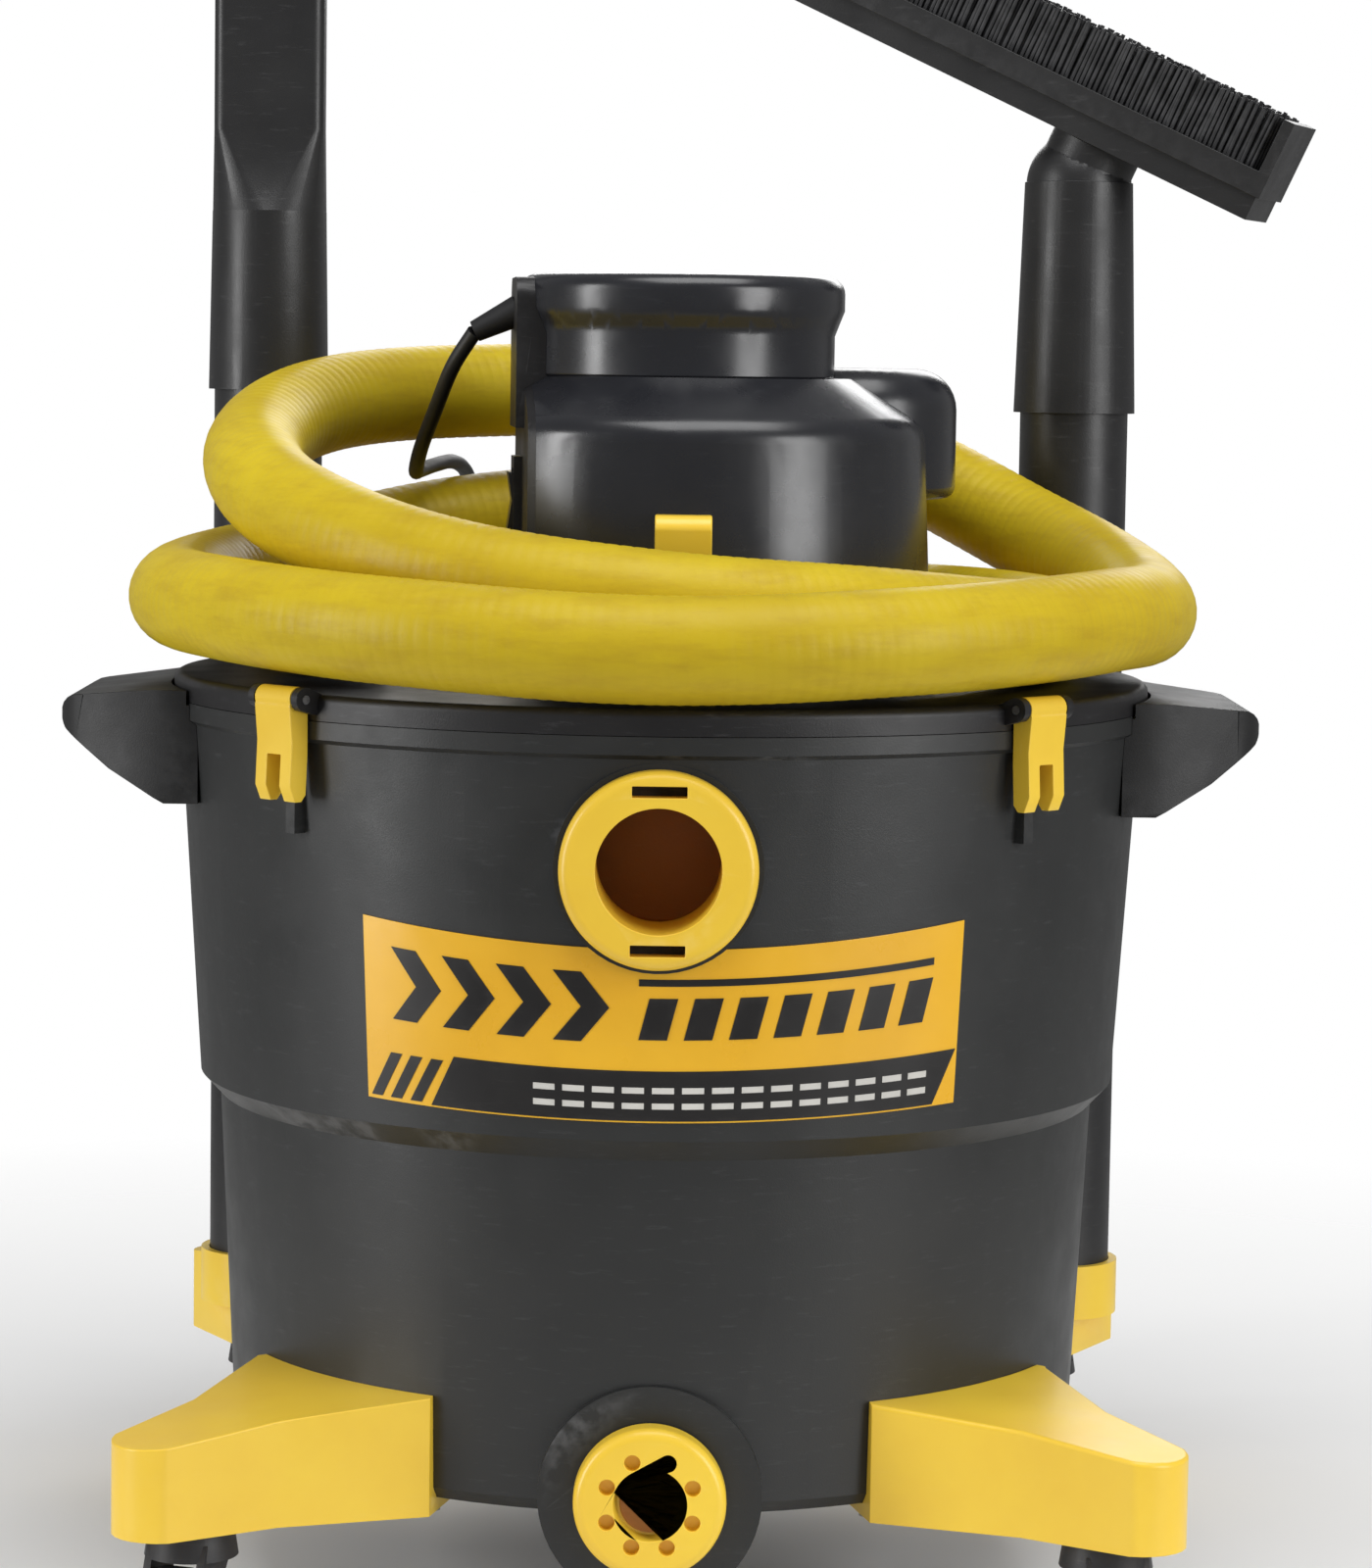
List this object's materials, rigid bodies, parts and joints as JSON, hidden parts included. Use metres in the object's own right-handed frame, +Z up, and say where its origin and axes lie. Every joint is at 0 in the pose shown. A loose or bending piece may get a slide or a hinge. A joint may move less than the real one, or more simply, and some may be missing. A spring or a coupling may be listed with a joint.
{
  "type": "shop vacuum",
  "caption": "Wet and dry shop vacuum on casters with a stepped drum, rim latches, coiled hose on the lid and stored wands with tools.",
  "frame": {"origin": "centre of the flat underside of the drum, on the drum's axis", "axes": "+Z up along the drum's axis, -Y towards the inlet at the front, +X to the right seen from the front"},
  "size_m": [0.6169, 0.6662, 0.8896],
  "materials": {
    "drum_plastic": "satin moulded charcoal",
    "handle_plastic": "satin moulded black",
    "screw_steel": "zinc plated",
    "yellow_plastic": "semi gloss moulded yellow",
    "seal_rubber": "matte",
    "inner_plastic": "matte moulded black",
    "label_film": "satin printed film",
    "caster_plastic": "satin moulded black",
    "axle_steel": "turned",
    "wheel_rubber": "matte",
    "lid_plastic": "satin moulded black",
    "head_plastic": "semi gloss moulded black",
    "rocker_plastic": "gloss",
    "motor_steel": "satin",
    "armature_copper": "wound copper",
    "impeller_aluminium": "satin",
    "float_plastic": "matte",
    "filter_paper": "pleated media",
    "tool_plastic": "satin moulded black",
    "bristle": "stiff bristle",
    "hose_plastic": "satin flexible yellow",
    "cuff_plastic": "satin",
    "cord_rubber": "satin jacket"
  },
  "bodies": {
    "drum": {"drum": "drum_plastic", "handle_left": "handle_plastic", "handle_right": "handle_plastic", "drum_screws": "screw_steel", "inlet_ring": "yellow_plastic", "inlet_gasket": "seal_rubber", "inlet_deflector": "inner_plastic", "label_panel": "label_film", "drain_gasket": "seal_rubber", "foot_front_left": "yellow_plastic", "foot_front_right": "yellow_plastic", "foot_rear_left": "yellow_plastic", "foot_rear_right": "yellow_plastic"},
    "drain_cap": {"drain_cap": "yellow_plastic"},
    "lid": {"lid": "lid_plastic", "lid_gasket": "seal_rubber", "latch_pins": "screw_steel", "head_base": "head_plastic", "head_cap": "head_plastic", "exhaust_cowl": "head_plastic", "switch_panel": "lid_plastic", "strain_relief": "cord_rubber", "hose_clip": "yellow_plastic", "head_screws": "screw_steel", "motor_housing": "motor_steel", "filter_cage": "inner_plastic", "hose": "hose_plastic", "hose_cuff_machine": "cuff_plastic", "hose_cuff_tool": "cuff_plastic", "power_cord": "cord_rubber", "cord_coil": "cord_rubber", "power_plug": "cord_rubber"},
    "rocker_switch": {"rocker_switch": "rocker_plastic"},
    "motor_rotor": {"motor_armature": "armature_copper", "impeller": "impeller_aluminium"},
    "float_ball": {"float_ball": "float_plastic"},
    "filter": {"filter_media": "filter_paper", "filter_end_cap": "inner_plastic"},
    "wand_left": {"wand_left": "tool_plastic"},
    "wand_right": {"wand_right": "tool_plastic"},
    "crevice_tool": {"crevice_tool": "tool_plastic"},
    "floor_tool_neck": {"floor_tool_neck": "tool_plastic"},
    "floor_tool_head": {"floor_tool_housing": "tool_plastic", "brush_strips": "bristle"},
    "caster_front_left": {"caster_fork_front_left": "caster_plastic", "caster_axle_front_left": "axle_steel"},
    "wheel_front_left": {"caster_wheel_front_left": "wheel_rubber"},
    "caster_front_right": {"caster_fork_front_right": "caster_plastic", "caster_axle_front_right": "axle_steel"},
    "wheel_front_right": {"caster_wheel_front_right": "wheel_rubber"},
    "caster_rear_left": {"caster_fork_rear_left": "caster_plastic", "caster_axle_rear_left": "axle_steel"},
    "wheel_rear_left": {"caster_wheel_rear_left": "wheel_rubber"},
    "caster_rear_right": {"caster_fork_rear_right": "caster_plastic", "caster_axle_rear_right": "axle_steel"},
    "wheel_rear_right": {"caster_wheel_rear_right": "wheel_rubber"},
    "latch_front_left": {"latch_front_left": "yellow_plastic"},
    "latch_front_right": {"latch_front_right": "yellow_plastic"},
    "latch_rear_left": {"latch_rear_left": "yellow_plastic"},
    "latch_rear_right": {"latch_rear_right": "yellow_plastic"}
  },
  "joints": [
    {"name": "caster_swivel_front_left", "type": "hinge", "parent": "drum", "child": "caster_front_left", "pos_m": [-0.204, -0.2, 0], "axis": [0, 0, 1], "continuous": true},
    {"name": "wheel_spin_front_left", "type": "hinge", "parent": "caster_front_left", "child": "wheel_front_left", "pos_m": [-0.21016, -0.21691, -0.047], "axis": [0.9397, -0.342, 0], "continuous": true},
    {"name": "caster_swivel_front_right", "type": "hinge", "parent": "drum", "child": "caster_front_right", "pos_m": [0.204, -0.2, 0], "axis": [0, 0, 1], "continuous": true},
    {"name": "wheel_spin_front_right", "type": "hinge", "parent": "caster_front_right", "child": "wheel_front_right", "pos_m": [0.20866, -0.21739, -0.047], "axis": [0.9659, 0.2588, 0], "continuous": true},
    {"name": "caster_swivel_rear_left", "type": "hinge", "parent": "drum", "child": "caster_rear_left", "pos_m": [-0.204, 0.2, 0], "axis": [0, 0, 1], "continuous": true},
    {"name": "wheel_spin_rear_left", "type": "hinge", "parent": "caster_rear_left", "child": "wheel_rear_left", "pos_m": [-0.19784, 0.21691, -0.047], "axis": [-0.9397, 0.342, 0], "continuous": true},
    {"name": "caster_swivel_rear_right", "type": "hinge", "parent": "drum", "child": "caster_rear_right", "pos_m": [0.204, 0.2, 0], "axis": [0, 0, 1], "continuous": true},
    {"name": "wheel_spin_rear_right", "type": "hinge", "parent": "caster_rear_right", "child": "wheel_rear_right", "pos_m": [0.19639, 0.21631, -0.047], "axis": [-0.9063, -0.4226, 0], "continuous": true},
    {"name": "latch_swing_front_left", "type": "hinge", "parent": "lid", "child": "latch_front_left", "pos_m": [-0.169, -0.169, 0.361], "axis": [-0.7071, 0.7071, 0], "range_deg": [0, 75]},
    {"name": "latch_swing_front_right", "type": "hinge", "parent": "lid", "child": "latch_front_right", "pos_m": [0.169, -0.169, 0.361], "axis": [-0.7071, -0.7071, 0], "range_deg": [0, 75]},
    {"name": "latch_swing_rear_left", "type": "hinge", "parent": "lid", "child": "latch_rear_left", "pos_m": [-0.14048, 0.19335, 0.361], "axis": [0.809, 0.5878, 0], "range_deg": [0, 75]},
    {"name": "latch_swing_rear_right", "type": "hinge", "parent": "lid", "child": "latch_rear_right", "pos_m": [0.14048, 0.19335, 0.361], "axis": [0.809, -0.5878, 0], "range_deg": [0, 75]},
    {"name": "lid_lift", "type": "slide", "parent": "drum", "child": "lid", "axis": [0, 0, 1], "range_m": [0, 0.22]},
    {"name": "drain_cap_turn", "type": "hinge", "parent": "drum", "child": "drain_cap", "pos_m": [0, -0.215, 0.01], "axis": [0, -1, 0], "range_deg": [0, 270]},
    {"name": "rocker_tilt", "type": "hinge", "parent": "lid", "child": "rocker_switch", "pos_m": [-0.069, 0, 0.445], "axis": [-0.0698, 0.9976, 0], "range_deg": [-7, 7]},
    {"name": "rotor_spin", "type": "hinge", "parent": "lid", "child": "motor_rotor", "pos_m": [0.01, 0, 0.37], "axis": [0, 0, 1], "continuous": true},
    {"name": "float_rise", "type": "slide", "parent": "lid", "child": "float_ball", "axis": [0, 0, 1], "range_m": [0, 0.055]},
    {"name": "filter_pull", "type": "slide", "parent": "lid", "child": "filter", "axis": [0, 0, -1], "range_m": [0, 0.12]},
    {"name": "wand_left_lift", "type": "slide", "parent": "drum", "child": "wand_left", "axis": [0, 0, 1], "range_m": [0, 0.05]},
    {"name": "wand_right_lift", "type": "slide", "parent": "drum", "child": "wand_right", "axis": [0, 0, 1], "range_m": [0, 0.05]},
    {"name": "crevice_tool_pull", "type": "slide", "parent": "wand_left", "child": "crevice_tool", "axis": [0, 0, 1], "range_m": [0, 0.05]},
    {"name": "floor_tool_pull", "type": "slide", "parent": "wand_right", "child": "floor_tool_neck", "axis": [0, 0, 1], "range_m": [0, 0.055]},
    {"name": "floor_tool_swivel", "type": "hinge", "parent": "floor_tool_neck", "child": "floor_tool_head", "pos_m": [0.213, 0.2, 0.607], "axis": [0.3996, -0.1376, 0.9063], "range_deg": [-90, 0]}
  ]
}
